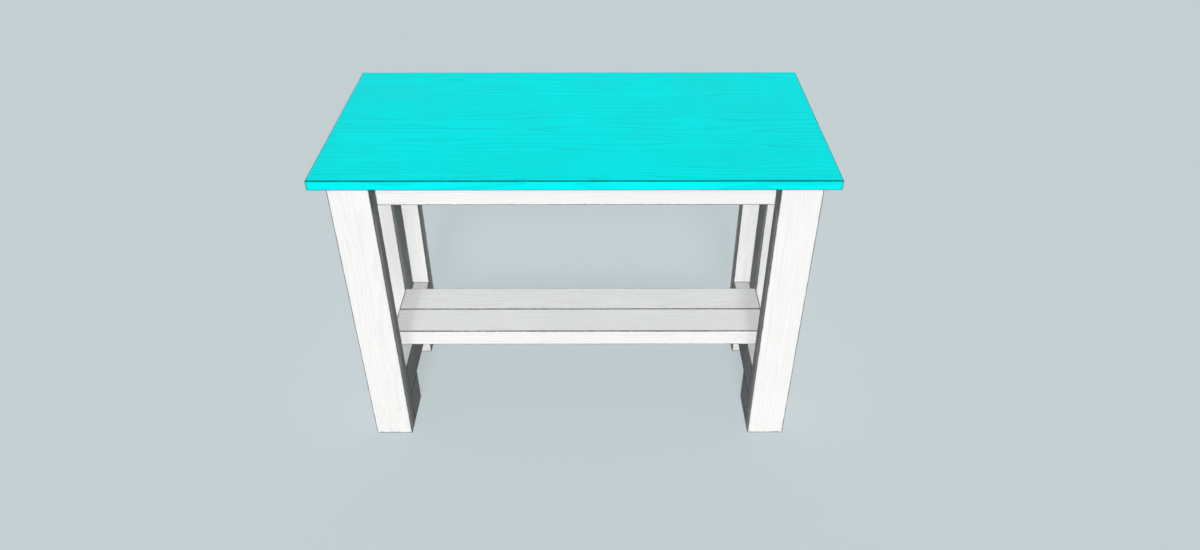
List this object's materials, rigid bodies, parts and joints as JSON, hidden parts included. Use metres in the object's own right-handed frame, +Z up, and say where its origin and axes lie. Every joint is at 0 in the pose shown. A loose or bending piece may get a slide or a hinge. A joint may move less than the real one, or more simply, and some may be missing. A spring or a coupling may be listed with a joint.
{
  "type": "workbench",
  "caption": "Free-standing timber workbench: an overhanging panel top on built-up corner legs, tied by aprons and rails, with an open low shelf of flat boards.",
  "frame": {"origin": "on the floor, under the middle of the bench", "axes": "+X along the bench's length, to the right of someone who faces its front; +Y from the front to the rear; +Z up"},
  "size_m": [1.2192, 0.6096, 0.8636],
  "materials": {
    "white_painted_timber": "white satin paint on eased sawn timber",
    "cyan_painted_panel": "cyan satin paint on a plywood panel",
    "zinc_plated_steel": "bright zinc plate"
  },
  "bodies": {
    "root": {"front_left_leg_face": "white_painted_timber", "front_left_leg_side": "white_painted_timber", "front_left_foot_block": "white_painted_timber", "front_right_leg_face": "white_painted_timber", "front_right_leg_side": "white_painted_timber", "front_right_foot_block": "white_painted_timber", "rear_left_leg_face": "white_painted_timber", "rear_left_leg_side": "white_painted_timber", "rear_left_foot_block": "white_painted_timber", "rear_right_leg_face": "white_painted_timber", "rear_right_leg_side": "white_painted_timber", "rear_right_foot_block": "white_painted_timber", "left_lower_rail": "white_painted_timber", "right_lower_rail": "white_painted_timber", "left_upper_rail": "white_painted_timber", "right_upper_rail": "white_painted_timber", "front_apron": "white_painted_timber", "rear_apron": "white_painted_timber", "front_shelf_board": "white_painted_timber", "rear_shelf_board": "white_painted_timber", "tabletop": "cyan_painted_panel", "foot_block_screws": "zinc_plated_steel", "lower_rail_screws": "zinc_plated_steel", "upper_rail_screws": "zinc_plated_steel", "apron_screws": "zinc_plated_steel", "shelf_screws": "zinc_plated_steel", "tabletop_screws": "zinc_plated_steel"}
  },
  "joints": []
}
